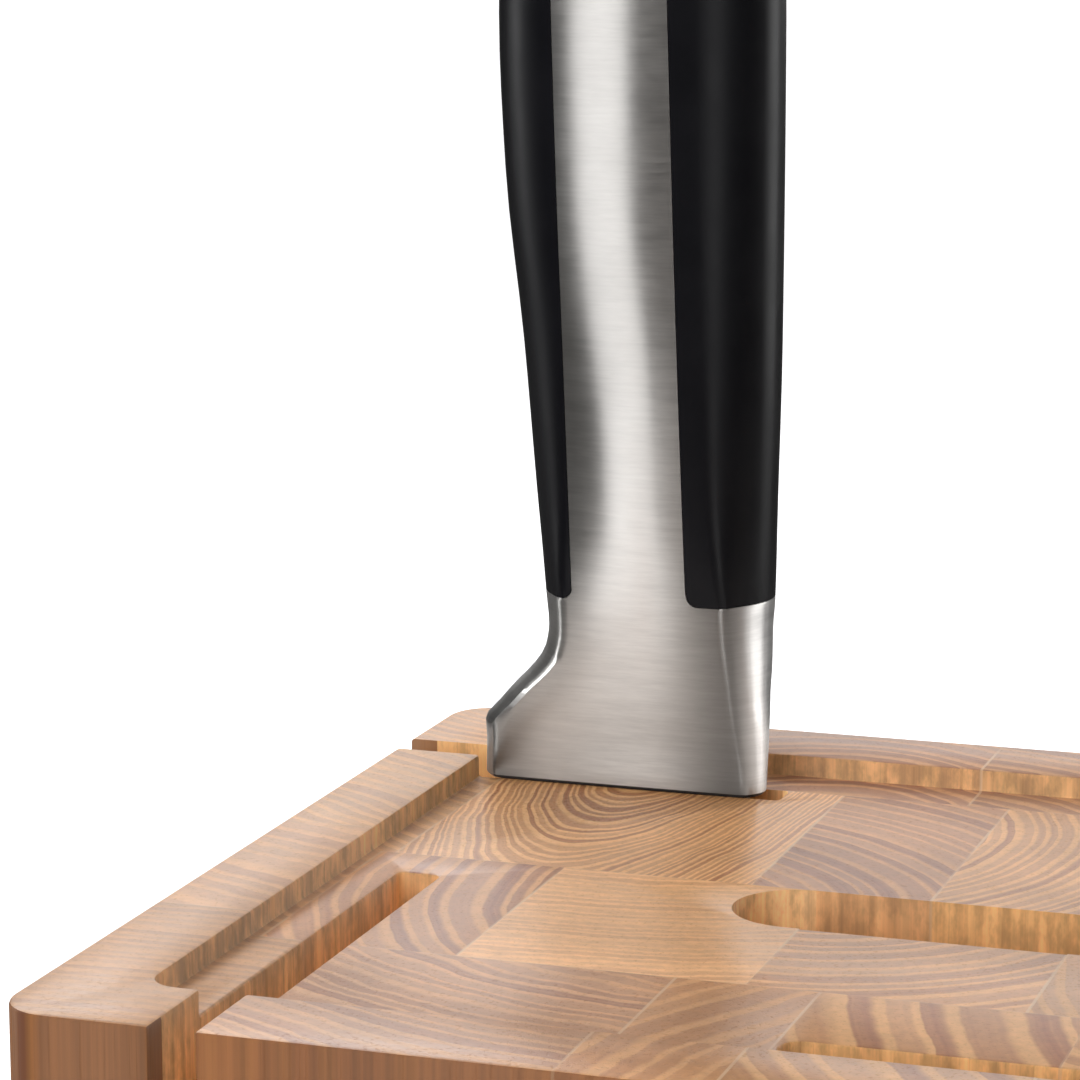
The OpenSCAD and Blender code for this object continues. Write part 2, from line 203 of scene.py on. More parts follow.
def noise_node(tree, vector, scale, detail=2.0, roughness=0.5, stretch=(1, 1, 1), offset=None):
    """Noise over a vector, squeezed per axis by the stretch."""
    mapping = tree.nodes.new("ShaderNodeMapping")
    mapping.inputs["Scale"].default_value = stretch
    if offset is not None:
        link(tree, offset, mapping.inputs["Location"])
    link(tree, vector, mapping.inputs["Vector"])
    n = tree.nodes.new("ShaderNodeTexNoise")
    n.inputs["Scale"].default_value = scale
    n.inputs["Detail"].default_value = detail
    n.inputs["Roughness"].default_value = roughness
    link(tree, mapping.outputs[0], n.inputs["Vector"])
    return n.outputs["Fac"]


def mix_colour(tree, factor, a, b, blend="MIX"):
    """Two colours or sockets, mixed by a number or a socket."""
    n = tree.nodes.new("ShaderNodeMix")
    n.data_type = "RGBA"
    n.blend_type = blend
    for socket, value in ((n.inputs["Factor"], factor), (n.inputs[6], a), (n.inputs[7], b)):
        if isinstance(value, (int, float)):
            socket.default_value = value
        elif isinstance(value, (tuple, list)):
            socket.default_value = (*value[:3], 1)
        else:
            link(tree, value, socket)
    return n.outputs[2]


def new_group(name, inputs, outputs):
    """An empty shader node group with named sockets: (name, socket type, default)."""
    tree = bpy.data.node_groups.new(name, "ShaderNodeTree")
    for label, kind, default in inputs:
        s = tree.interface.new_socket(name=label, in_out="INPUT", socket_type=kind)
        if default is not None:
            s.default_value = default
    for label, kind in outputs:
        tree.interface.new_socket(name=label, in_out="OUTPUT", socket_type=kind)
    return tree, tree.nodes.new("NodeGroupInput"), tree.nodes.new("NodeGroupOutput")


def place_group(tree, group, **values):
    """A node group in a material, with its sockets given by name."""
    n = tree.nodes.new("ShaderNodeGroup")
    n.node_tree = group
    for label, value in values.items():
        socket = n.inputs[label.replace("_", " ")]
        if hasattr(value, "is_output"):
            link(tree, value, socket)
        else:
            socket.default_value = value
    return n


def new_material(name):
    """An empty material with one Principled shader: the material, its tree and the shader."""
    m = bpy.data.materials.new(name)
    m.use_nodes = True
    m.node_tree.nodes.clear()
    out = m.node_tree.nodes.new("ShaderNodeOutputMaterial")
    shader = m.node_tree.nodes.new("ShaderNodeBsdfPrincipled")
    link(m.node_tree, shader.outputs[0], out.inputs[0])
    return m, m.node_tree, shader


def object_coordinates(tree):
    """The place of each point in its own piece."""
    return tree.nodes.new("ShaderNodeTexCoord").outputs["Object"]


def bump(tree, shader, height, strength, distance, under=None):
    """Tilts the shader's normals by a height field, over the normals of an earlier field."""
    n = tree.nodes.new("ShaderNodeBump")
    n.inputs["Strength"].default_value = strength
    n.inputs["Distance"].default_value = distance
    link(tree, height, n.inputs["Height"])
    if under is not None:
        link(tree, under, n.inputs["Normal"])
    link(tree, n.outputs[0], shader.inputs["Normal"])
    return n.outputs[0]


# ---- Wood ----------------------------------------------------------------------------------

FLOAT, VECTOR = "NodeSocketFloat", "NodeSocketVector"


def growth_ring_group():
    """Year rings round an upright pith: pale early wood that darkens to dense late wood."""
    tree, given, out = new_group("growth_rings", [
        ("Vector", VECTOR, None), ("Pith", VECTOR, (0, 0, 0)), ("Spacing", FLOAT, 0.002),
        ("Waviness", FLOAT, 0.002), ("Late Share", FLOAT, 0.6), ("Seed", VECTOR, (0, 0, 0)),
        ("Squeeze", VECTOR, (1, 1, 0.02)),
    ], [("Late", FLOAT), ("Ring Tone", FLOAT)])
    i = given.outputs
    flat = tree.nodes.new("ShaderNodeVectorMath")
    flat.operation = "MULTIPLY_ADD"
    flat.inputs[1].default_value = (1, 1, 0.012)
    link(tree, i["Vector"], flat.inputs[0])
    link(tree, i["Seed"], flat.inputs[2])
    drift = noise_node(tree, flat.outputs[0], 48, 3.5, 0.6)
    away = tree.nodes.new("ShaderNodeVectorMath")
    away.operation = "SUBTRACT"
    link(tree, i["Vector"], away.inputs[0])
    link(tree, i["Pith"], away.inputs[1])
    level = tree.nodes.new("ShaderNodeVectorMath")
    level.operation = "MULTIPLY"
    link(tree, away.outputs[0], level.inputs[0])
    link(tree, i["Squeeze"], level.inputs[1])
    length = tree.nodes.new("ShaderNodeVectorMath")
    length.operation = "LENGTH"
    link(tree, level.outputs[0], length.inputs[0])
    wander = math_node(tree, "MULTIPLY", math_node(tree, "SUBTRACT", drift, 0.5), i["Waviness"])
    radius = math_node(tree, "ADD", length.outputs["Value"], wander)
    count = math_node(tree, "DIVIDE", radius, i["Spacing"])
    along = tree.nodes.new("ShaderNodeCombineXYZ")
    link(tree, count, along.inputs[0])
    link(tree, i["Spacing"], along.inputs[1])
    uneven = math_node(tree, "SUBTRACT", noise_node(tree, along.outputs[0], 0.37, 1), 0.5)
    count = math_node(tree, "ADD", count, math_node(tree, "MULTIPLY", uneven, 2.1))
    fine = noise_node(tree, along.outputs[0], 4.5, 1.5, 0.6)
    share = math_node(tree, "FRACT", count)
    start = math_node(tree, "SUBTRACT", 0.84, i["Late Share"])
    rise = range_node(tree, share, start, math_node(tree, "ADD", start, 0.24))
    fall = range_node(tree, share, 0.9, 0.99, 1.0, 0.0)
    lines = range_node(tree, fine, 0.3, 0.7, 0.72, 1.0)
    band = math_node(tree, "MULTIPLY", rise, fall)
    link(tree, math_node(tree, "MULTIPLY", band, lines), out.inputs["Late"])
    tone = tree.nodes.new("ShaderNodeTexWhiteNoise")
    tone.noise_dimensions = "1D"
    link(tree, math_node(tree, "FLOOR", count), tone.inputs["W"])
    link(tree, tone.outputs["Value"], out.inputs["Ring Tone"])
    return tree


def fibre_group():
    """Upright fibres: streaks along the grain on a side, fine pores on the end grain."""
    tree, given, out = new_group("wood_fibres", [
        ("Vector", VECTOR, None), ("Seed", VECTOR, (0, 0, 0)),
    ], [("Streak", FLOAT), ("Pore", FLOAT), ("Cloud", FLOAT), ("Tear", FLOAT)])
    v, seed = given.outputs["Vector"], given.outputs["Seed"]
    streak = noise_node(tree, v, 1, 4, 0.65, (900, 900, 9), seed)
    pore = noise_node(tree, v, 1, 2, 0.5, (2600, 2600, 60), seed)
    cloud = noise_node(tree, v, 1, 3, 0.5, (70, 70, 6), seed)
    tear = noise_node(tree, v, 1, 4, 0.65, (420, 420, 190), seed)
    link(tree, streak, out.inputs["Streak"])
    link(tree, range_node(tree, pore, 0.56, 0.7), out.inputs["Pore"])
    link(tree, cloud, out.inputs["Cloud"])
    link(tree, range_node(tree, tear, 0.3, 0.7), out.inputs["Tear"])
    return tree


def glue_line_group():
    """A mask along a stave's glued edges, which stand in from its low and high corners."""
    tree, given, out = new_group("glue_lines", [
        ("Vector", VECTOR, None), ("Low", VECTOR, (0, 0, 0)), ("High", VECTOR, (0, 0, 0)),
        ("Width", FLOAT, 0.0002),
    ], [("Line", FLOAT)])
    i = given.outputs
    parts = {}
    for label, source in (("at", i["Vector"]), ("low", i["Low"]), ("high", i["High"])):
        split = tree.nodes.new("ShaderNodeSeparateXYZ")
        link(tree, source, split.inputs[0])
        parts[label] = split.outputs
    gaps = []
    for axis in (0, 1):
        from_low = math_node(tree, "SUBTRACT", parts["at"][axis], parts["low"][axis])
        from_high = math_node(tree, "SUBTRACT", parts["high"][axis], parts["at"][axis])
        gaps.append(math_node(tree, "MINIMUM", from_low, from_high))
    half = math_node(tree, "MULTIPLY", i["Width"], 0.5)
    patchy = range_node(tree, noise_node(tree, i["Vector"], 90, 2, 0.6), 0.3, 0.6, 0.25, 1.0)
    side = range_node(tree, gaps[0], half, i["Width"], 0.6, 0.0)
    row = range_node(tree, gaps[1], half, i["Width"], 0.15, 0.0)
    both = math_node(tree, "MAXIMUM", side, row)
    link(tree, math_node(tree, "MULTIPLY", both, patchy), out.inputs["Line"])
    return tree


EARLY_WOOD = (0.72, 0.385, 0.16)
LATE_WOOD = (0.32, 0.112, 0.046)
GLUE = (0.72, 0.5, 0.31)
# Painted reflection: the pale grey that polished pieces see in place of the wood, and how much of
# it.
PAINTED_REFLECTED_WOOD = (0.95, 0.935, 0.92)
PAINTED_REFLECTION_SHARE = 0.8
RESIN = (0.12, 0.035, 0.015)
RESINOUS = "stave_front_1"
# Side-grain tints: the outer sides darker, partly their own duller colour and partly painted shade;
# the inner walls of the tray and slots lighter with painted light.
OUTER_SIDE_COLOUR_AND_SHADE = (0.56, 0.44, 0.25)
INNER_WALL_PAINTED_LIGHT = (1.4, 1.6, 1.6)

# Each stave's own timber: pith (mm right of and behind the block's front left corner), how much
# its rings are squeezed across the width, ring spacing and waviness in mm, late-wood share,
# contrast and tint.
TIMBER = {
    "stave_front_1": ((10, -60), 1, 1.7, 2.2, 0.5, 0.5, (0.82, 0.79, 0.81)),
    "stave_front_2": ((67, 111), 1, 2.0, 5.5, 0.68, 0.85, (0.87, 0.83, 0.9)),
    "stave_front_3": ((150, -20), 1, 3.2, 6.0, 0.7, 0.6, (0.92, 0.86, 0.84)),
    "stave_front_4": ((140, 50), 1, 3.8, 3.0, 0.7, 0.95, (1.03, 1.02, 1.02)),
    "stave_front_5": ((130, 90), 1, 3.2, 3.0, 0.66, 0.85, (1.0, 0.98, 0.96)),
    "stave_middle_1": ((-60, -90), 1, 3.0, 6.0, 0.66, 0.6, (0.95, 0.94, 1.0)),
    "stave_middle_2": ((61, 62), 1, 2.3, 2.4, 0.68, 1.0, (0.93, 0.86, 0.85)),
    # This stave's pale, bluish tint is partly its own tone and partly painted sheen.
    "stave_middle_3": ((30, 120), 1, 1.5, 5.0, 0.6, 0.42, (1.24, 1.28, 1.42)),
    "stave_middle_4": ((56, 67), 1, 2.2, 2.0, 0.66, 0.8, (1.08, 1.06, 1.08)),
    "stave_middle_5": ((150, 60), 1, 2.4, 3.0, 0.6, 0.8, (0.98, 0.96, 0.94)),
    "stave_back_1": ((-40, 10), 1, 2.2, 4.5, 0.62, 0.65, (0.98, 0.98, 0.98)),
    # This stave's pale, bluish tint is partly its own tone and partly painted sheen.
    "stave_back_2": ((27, 120), 3.8, 2.3, 8.0, 0.6, 0.95, (1.26, 1.28, 1.32)),
    "stave_back_3": ((34, 52), 1, 2.1, 2.2, 0.74, 1.0, (0.92, 0.87, 0.93)),
    "stave_back_4": ((40, 90), 1, 1.5, 2.4, 0.62, 0.95, (1.05, 1.03, 1.0)),
    "stave_back_5": ((95, 40), 1, 1.8, 2.4, 0.6, 0.8, (1.0, 0.98, 0.96)),
    "stave_rear_1": ((20, 150), 1, 1.8, 2.4, 0.6, 0.7, (1.05, 1.02, 1.0)),
    "stave_rear_2": ((48, 92), 1, 2.4, 3.0, 0.66, 0.95, (0.87, 0.79, 0.79)),
    "stave_rear_3": ((60, 90), 1, 2.2, 3.6, 0.62, 0.9, (0.88, 0.82, 0.82)),
    "stave_rear_4": ((120, 150), 1, 2.0, 2.4, 0.6, 0.8, (1.0, 0.98, 0.95)),
}


def glued_span(node):
    """The stave's low and high corners, with the block's own outer faces moved out of reach."""
    low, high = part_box(node)
    far = 0.05
    for axis in (0, 1):
        if abs(low[axis] - BLOCK_LOW[axis]) < 0.01 * MM:
            low[axis] -= far
        if abs(high[axis] - BLOCK_HIGH[axis]) < 0.01 * MM:
            high[axis] += far
    return low, high


def grey_level(tree, value):
    """A grey whose level varies over the surface."""
    grey = tree.nodes.new("ShaderNodeCombineColor")
    for socket in grey.inputs:
        link(tree, value, socket)
    return grey.outputs[0]


def top_and_wall(tree):
    """Masks of a stave's end grain and of everything inside the block's outer faces."""
    normal = tree.nodes.new("ShaderNodeSeparateXYZ")
    link(tree, tree.nodes.new("ShaderNodeTexCoord").outputs["Normal"], normal.inputs[0])
    place = tree.nodes.new("ShaderNodeSeparateXYZ")
    link(tree, object_coordinates(tree), place.inputs[0])
    top = range_node(tree, math_node(tree, "ABSOLUTE", normal.outputs[2]), 0.35, 0.75)
    within = [math_node(tree, "LESS_THAN", math_node(tree, "ABSOLUTE", place.outputs[axis]),
                        BLOCK_HIGH[axis] - 3 * MM) for axis in (0, 1)]
    wall = math_node(tree, "MULTIPLY", *within)
    return top, wall, place


def side_grain_depth(tree, end_depth, wall):
    """How much dark wood a stave's sides show: less on the inner walls, painted light that makes
    them brighter.
    """
    return math_node(tree, "ADD", math_node(tree, "MULTIPLY", end_depth, 0.24),
                     range_node(tree, wall, 0, 1, 0.36, 0.08))


def wood_shade(tree, fibres, top, wall):
    """Light and dark over the wood: clouds, fibres, and torn grain on the inner walls."""
    cloud = range_node(tree, fibres.outputs["Cloud"], 0.3, 0.7, 0.88, 1.1)
    fibre_low = range_node(tree, top, 0, 1, 0.76, 0.92)
    fibre_high = range_node(tree, top, 0, 1, 1.14, 1.07)
    streak = range_node(tree, fibres.outputs["Streak"], 0.3, 0.7, fibre_low, fibre_high)
    inside = math_node(tree, "MULTIPLY", wall, math_node(tree, "SUBTRACT", 1.0, top))
    torn = range_node(tree, fibres.outputs["Tear"], 0, 1,
                      range_node(tree, inside, 0, 1, 1.0, 0.72),
                      range_node(tree, inside, 0, 1, 1.0, 1.18))
    return math_node(tree, "MULTIPLY", math_node(tree, "MULTIPLY", cloud, streak), torn)


def resin_stripe(tree, colour, top, place):
    """A dark resin stripe down the front face, just in from the left corner."""
    away = math_node(tree, "ABSOLUTE",
                     math_node(tree, "SUBTRACT", place.outputs[0], BLOCK_LOW.x + 2.8 * MM))
    resin = math_node(tree, "MULTIPLY", range_node(tree, away, 0.2 * MM, 0.9 * MM, 0.7, 0.0),
                      math_node(tree, "SUBTRACT", 1.0, top))
    return mix_colour(tree, resin, colour, RESIN)


def stave_material(node, groups):
    """Oiled wood with the stave's own rings, fibres and glue lines."""
    pith, squeeze, spacing, waviness, late_share, contrast, tint = TIMBER[node]
    m, tree, shader = new_material("oiled_" + node)
    at = object_coordinates(tree)
    order = list(TIMBER).index(node)
    seed = (order * 1.37, order * 2.11, order * 0.73)
    rings = place_group(tree, groups["rings"], Vector=at, Spacing=spacing * MM,
                        Pith=(BLOCK_LOW.x + pith[0] * MM, BLOCK_LOW.y + pith[1] * MM, 0),
                        Waviness=waviness * MM, Late_Share=late_share, Seed=seed,
                        Squeeze=(squeeze, 1, 0.02))
    fibres = place_group(tree, groups["fibres"], Vector=at, Seed=seed)
    low, high = glued_span(node)
    glue = place_group(tree, groups["glue"], Vector=at, Low=low, High=high, Width=0.2 * MM)
    top, wall, place = top_and_wall(tree)
    early = tuple(c * t for c, t in zip(EARLY_WOOD, tint))
    late = tuple(c * t for c, t in zip(LATE_WOOD, tint))
    tone = range_node(tree, rings.outputs["Ring Tone"], 0, 1, 0.5, 1.0)
    depth = math_node(tree, "MULTIPLY", rings.outputs["Late"], contrast)
    end_depth = math_node(tree, "MULTIPLY", depth, tone)
    side_depth = side_grain_depth(tree, end_depth, wall)
    depth = range_node(tree, top, 0, 1, side_depth, end_depth, smoothstep=False)
    colour = mix_colour(tree, depth, early, late)
    shade = wood_shade(tree, fibres, top, wall)
    colour = mix_colour(tree, 1.0, colour, grey_level(tree, shade), "MULTIPLY")
    # Outer sides partly painted shade, inner walls painted light.
    side_colour_and_light = mix_colour(tree, wall, OUTER_SIDE_COLOUR_AND_SHADE, INNER_WALL_PAINTED_LIGHT)
    side_colour_and_light = mix_colour(tree, top, side_colour_and_light, (1, 1, 1))
    colour = mix_colour(tree, 1.0, colour, side_colour_and_light, "MULTIPLY")
    pore = math_node(tree, "MULTIPLY", fibres.outputs["Pore"], 0.16)
    colour = mix_colour(tree, pore, colour, tuple(c * 0.4 for c in late))
    colour = mix_colour(tree, glue.outputs["Line"], colour, GLUE)
    if node == RESINOUS:
        colour = resin_stripe(tree, colour, top, place)
    # Painted reflection: glossy rays see the wood mostly as a pale grey.
    rays = tree.nodes.new("ShaderNodeLightPath")
    mirrored = math_node(tree, "MULTIPLY", rays.outputs["Is Glossy Ray"], PAINTED_REFLECTION_SHARE)
    colour = mix_colour(tree, mirrored, colour, PAINTED_REFLECTED_WOOD)
    link(tree, colour, shader.inputs["Base Color"])
    rough = range_node(tree, rings.outputs["Late"], 0, 1, 0.36, 0.31)
    rough = math_node(tree, "ADD", rough, math_node(tree, "MULTIPLY", fibres.outputs["Pore"], 0.1))
    rough = math_node(tree, "ADD", rough, range_node(tree, top, 0, 1, 0.14, 0.0))
    link(tree, rough, shader.inputs["Roughness"])
    shader.inputs["IOR"].default_value = 1.52
    relief = math_node(tree, "SUBTRACT", fibres.outputs["Streak"], fibres.outputs["Pore"])
    bump(tree, shader, relief, 0.2, 0.05 * MM)
    return m


def plate_material(groups):
    """The base plate's wood, its rings turned to run across the block."""
    m, tree, shader = new_material("oiled_base_plate")
    at = object_coordinates(tree)
    turned = tree.nodes.new("ShaderNodeMapping")
    turned.inputs["Rotation"].default_value = (0, math.radians(90), 0)
    link(tree, at, turned.inputs["Vector"])
    rings = place_group(tree, groups["rings"], Vector=turned.outputs[0], Spacing=2.6 * MM,
                        Pith=(0.05, 0.02, 0), Waviness=9 * MM, Late_Share=0.5, Seed=(4, 2, 7))
    fibres = place_group(tree, groups["fibres"], Vector=turned.outputs[0], Seed=(1, 5, 3))
    colour = mix_colour(tree, math_node(tree, "MULTIPLY", rings.outputs["Late"], 0.5),
                        tuple(c * 0.7 for c in EARLY_WOOD), tuple(c * 0.8 for c in LATE_WOOD))
    colour = mix_colour(tree, math_node(tree, "MULTIPLY", fibres.outputs["Pore"], 0.3), colour,
                        (0.06, 0.03, 0.015))
    link(tree, colour, shader.inputs["Base Color"])
    shader.inputs["Roughness"].default_value = 0.5
    bump(tree, shader, fibres.outputs["Streak"], 0.2, 0.05 * MM)
    return m


# ---- Metal, plastic and rubber -------------------------------------------------------------

# The handle face's crown: where its middle lies from the handle's axis, its bend per metre at
# the bolster and up the handle, and the heights over which it fades; higher up the face leans.
CROWN_OFFSET = 2.6 * MM
CROWN_BEND = (14.0, 3.0)
CROWN_HEIGHTS = (0.026, 0.052)
CROWN_LEAN = 0.07
LEAN_HEIGHTS = (0.036, 0.064)

# The bolster's painted reflection: where painted shade darkens the face towards its sides and a
# painted highlight lifts it again past the crease, how much, how bright its painted middle is, and
# the heights where all that fades.
PAINT_MIDDLE_OFFSET = -2.6 * MM
PAINTED_SHADE_FROM = (5 * MM, 15 * MM)
PAINTED_LIFT_FROM = (15 * MM, 17 * MM)
PAINTED_SHADE_DEPTH = 0.85
PAINTED_HIGHLIGHT = 0.27
PAINTED_REFLECTION_HEIGHTS = (0.02, 0.045)

# Painted shadow for the gap under the bolster, and the grips' two blacks
GAP_SHADOW_PAINT = (0.012, 0.01, 0.009)
GRIP_BLACKS = ((0.0025, 0.0025, 0.004), (0.004, 0.004, 0.006))


def brushed_group():
    """Fine scratches, dense along the axes with a high density and long along the others."""
    tree, given, out = new_group("brushing", [
        ("Vector", VECTOR, None), ("Density", VECTOR, (40, 40, 4000)),
    ], [("Scratch", FLOAT), ("Patch", FLOAT)])
    v = given.outputs["Vector"]
    scaled = tree.nodes.new("ShaderNodeVectorMath")
    scaled.operation = "MULTIPLY"
    link(tree, v, scaled.inputs[0])
    link(tree, given.outputs["Density"], scaled.inputs[1])
    fine = noise_node(tree, scaled.outputs[0], 1, 3, 0.7)
    wide = noise_node(tree, scaled.outputs[0], 0.35, 2, 0.6)
    patch = noise_node(tree, v, 160, 3, 0.6)
    link(tree, math_node(tree, "ADD", math_node(tree, "MULTIPLY", fine, 0.6),
                         math_node(tree, "MULTIPLY", wide, 0.4)), out.inputs["Scratch"])
    link(tree, patch, out.inputs["Patch"])
    return tree


def face_place(tree, at, knife):
    """How far a point lies from the handle's axis towards its spine, and above the tray."""
    low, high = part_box(f"knife_{knife}_frame")
    along = 0 if high.x - low.x > high.y - low.y else 1
    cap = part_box(f"knife_{knife}_cap")
    axis = (cap[0][along] + cap[1][along]) / 2
    spine = 1.0 if 2 * axis > low[along] + high[along] else -1.0
    place = tree.nodes.new("ShaderNodeSeparateXYZ")
    link(tree, at, place.inputs[0])
    across = math_node(tree, "SUBTRACT", place.outputs[along], axis)
    across = math_node(tree, "MULTIPLY", across, spine)
    return across, math_node(tree, "SUBTRACT", place.outputs[2], TRAY_Z)


def painted_bolster_reflection(tree, across, height):
    """Painted reflection on the bolster: painted shade darkens its face towards both sides, then a
    painted highlight lifts it past the crease.
    """
    side = math_node(tree, "SUBTRACT", across, PAINT_MIDDLE_OFFSET)
    painted_lift = range_node(tree, side, *PAINTED_LIFT_FROM, 0.0, PAINTED_SHADE_DEPTH * 0.85)
    painted_shade = range_node(tree, math_node(tree, "ABSOLUTE", side), *PAINTED_SHADE_FROM, PAINTED_HIGHLIGHT,
                      PAINTED_HIGHLIGHT - PAINTED_SHADE_DEPTH)
    shade = math_node(tree, "ADD", painted_shade, painted_lift)
    reach = range_node(tree, height, *PAINTED_REFLECTION_HEIGHTS, 1.0, 0.0)
    return math_node(tree, "ADD", math_node(tree, "MULTIPLY", shade, reach), 1.0)


def crowned_face(tree, shader, across, height):
    """The ground face's slight crown, strongest at the bolster and fading up the handle."""
    across = math_node(tree, "SUBTRACT", across, CROWN_OFFSET)
    bend = range_node(tree, height, *CROWN_HEIGHTS, *CROWN_BEND)
    lean = range_node(tree, height, *LEAN_HEIGHTS, 0.0, CROWN_LEAN)
    square = math_node(tree, "MULTIPLY", math_node(tree, "MULTIPLY", across, across), bend)
    field = math_node(tree, "ADD", math_node(tree, "MULTIPLY", square, -0.5),
                      math_node(tree, "MULTIPLY", math_node(tree, "MULTIPLY", across, lean), -1.0))
    return bump(tree, shader, field, 1.0, 1.0)


def steel_material(name, groups, density, colour, rough, pull=0.0, foot=None, knife=None,
                   grain=(0.94, 1.04)):
    """Brushed steel. The pull stretches its highlights across the scratches, a painted shadow line,
    dark and not metal, stays below the foot height, and a knife's number gives the face its crown
    and
    a painted reflection: a bright middle with painted shade towards the sides."""
    m, tree, shader = new_material(name)
    shader.inputs["Anisotropic"].default_value = pull
    shader.inputs["Anisotropic Rotation"].default_value = 0.25
    at = object_coordinates(tree)
    brush = place_group(tree, groups["brushed"], Vector=at, Density=density)
    scratch = brush.outputs["Scratch"]
    shade = range_node(tree, scratch, 0.3, 0.7, *grain)
    if knife:
        across, height = face_place(tree, at, knife)
        # The bolster's painted reflection: lighter in the middle, painted shade towards the sides.
        shade = math_node(tree, "MULTIPLY", shade, painted_bolster_reflection(tree, across, height))
    colour = mix_colour(tree, 1.0, colour, grey_level(tree, shade), "MULTIPLY")
    if foot is None:
        shader.inputs["Metallic"].default_value = 1.0
    else:
        place = tree.nodes.new("ShaderNodeSeparateXYZ")
        link(tree, at, place.inputs[0])
        # Painted shadow: below the foot height the steel turns a dark non-metal, standing for the
        # shade in the gap under the bolster.
        above_gap_shadow = range_node(tree, place.outputs[2], foot, foot + 0.06 * MM)
        colour = mix_colour(tree, above_gap_shadow, GAP_SHADOW_PAINT, colour)
        link(tree, above_gap_shadow, shader.inputs["Metallic"])
    link(tree, colour, shader.inputs["Base Color"])
    uneven = math_node(tree, "ADD", range_node(tree, scratch, 0.3, 0.7, -0.025, 0.03),
                       range_node(tree, brush.outputs["Patch"], 0.3, 0.7, -0.02, 0.02))
    link(tree, math_node(tree, "ADD", uneven, rough), shader.inputs["Roughness"])
    under = crowned_face(tree, shader, across, height) if knife else None
    bump(tree, shader, scratch, 0.12, 0.02 * MM, under)
    return m


def grip_material():
    """Black grips with a faint fine grain."""
    m, tree, shader = new_material("black_grip")
    shader.inputs["Specular IOR Level"].default_value = 0.2
    at = object_coordinates(tree)
    cloud = noise_node(tree, at, 120, 3, 0.6)
    grain = noise_node(tree, at, 5200, 2, 0.5)
    colour = mix_colour(tree, cloud, *GRIP_BLACKS)
    link(tree, colour, shader.inputs["Base Color"])
    link(tree, range_node(tree, cloud, 0.3, 0.7, 0.33, 0.38), shader.inputs["Roughness"])
    bump(tree, shader, grain, 0.05, 0.01 * MM)
    return m


def rubber_material():
    """Dull rubber feet."""
    m, tree, shader = new_material("foot_rubber")
    at = object_coordinates(tree)
    grain = noise_node(tree, at, 2400, 3, 0.6)
    link(tree, mix_colour(tree, grain, (0.012, 0.012, 0.013), (0.024, 0.024, 0.025)),
         shader.inputs["Base Color"])
    link(tree, range_node(tree, grain, 0.3, 0.7, 0.65, 0.8), shader.inputs["Roughness"])
    bump(tree, shader, grain, 0.2, 0.03 * MM)
    return m


def screw_material(groups):
    """Plain steel screws."""
    return steel_material("screw_steel", groups, (900, 900, 60), (0.55, 0.55, 0.56), 0.3)


# ---- Pieces --------------------------------------------------------------------------------

def open_edge(low, high):
    """Picks a stave's exposed sharp edges and leaves its glued ones alone."""
    def glued(face):
        normal = face.normal
        centre = face.calc_center_median()
        if normal.z < -0.9:
            return True
        for axis in (0, 1):
            for side, edge in ((-1, low[axis]), (1, high[axis])):
                inside = BLOCK_LOW[axis] + MM < edge < BLOCK_HIGH[axis] - MM
                if inside and normal[axis] * side > 0.9 and abs(centre[axis] - edge) < 0.05 * MM:
                    return True
        return False

    def wanted(edge):
        return sharp(edge, 40) and not any(glued(face) for face in edge.link_faces)
    return wanted


def build_staves(groups):
    """Every stave of the block, with its open edges eased and its own wood."""
    for row, count in ROWS.items():
        for k in range(1, count + 1):
            node = f"stave_{row}_{k}"
            piece = copy_of_node(node, "wood_" + node)
            dissolve_flat(piece)
            low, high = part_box(node)
            bevel_edges(piece, 0.35 * MM, open_edge(low, high), 2)
            smooth(piece, 35)
            piece.data.materials.append(stave_material(node, groups))


def build_base(groups, rubber, screw):
    """The base plate, the rubber feet and their screws."""
    plate = copy_of_node("base_plate", "wood_base_plate")
    dissolve_flat(plate)
    bevel_edges(plate, 0.6 * MM, lambda e: sharp(e, 40), 2)
    smooth(plate, 35)
    plate.data.materials.append(plate_material(groups))
    for corner in FEET:
        foot = copy_of_node("foot_" + corner, "rubber_foot_" + corner)
        dissolve_flat(foot)
        bevel_edges(foot, 0.5 * MM, lambda e: sharp(e, 60), 3)
        smooth(foot, 35)
        foot.data.materials.append(rubber)
        bolt = copy_of_node("foot_screw_" + corner, "metal_foot_screw_" + corner)
        dissolve_flat(bolt)
        smooth(bolt, 35)
        bolt.data.materials.append(screw)


def build_knife(k, groups, materials):
    """One knife's six pieces; its handle steel follows its own place."""
    parts = {
        "blade": ("blade_steel", "blade", 20), "frame": ("handle_steel", "handle", 28),
        "cap": ("handle_steel", "handle", 28), "spine_grip": ("grip_black", "grip", 32),
        "belly_grip": ("grip_black", "grip", 32), "cap_screw": ("screw_steel", "screw", 35),
    }
    handle = steel_material(f"handle_steel_{k}", groups, (260, 260, 3000), (0.66, 0.645, 0.625),
                            0.34, 0.8, TRAY_Z + FOOT_GAP, k, (0.91, 1.06))
    for part, (slot, finish, angle) in parts.items():
        piece = copy_of_node(f"knife_{k}_{part}", f"knife_{k}_{part}_piece")
        smooth(piece, angle)
        piece.data.materials.append(materials.get(finish, handle))


# ---- Room and camera -----------------------------------------------------------------------

FLOOR_PAPER = ((0.9, 0.9, 0.9), (0.93, 0.93, 0.93))
FLOOR_PAINTED_SHADE = (0.09, 0.088, 0.085, 1)
FLOOR_RADIUS = 40.0


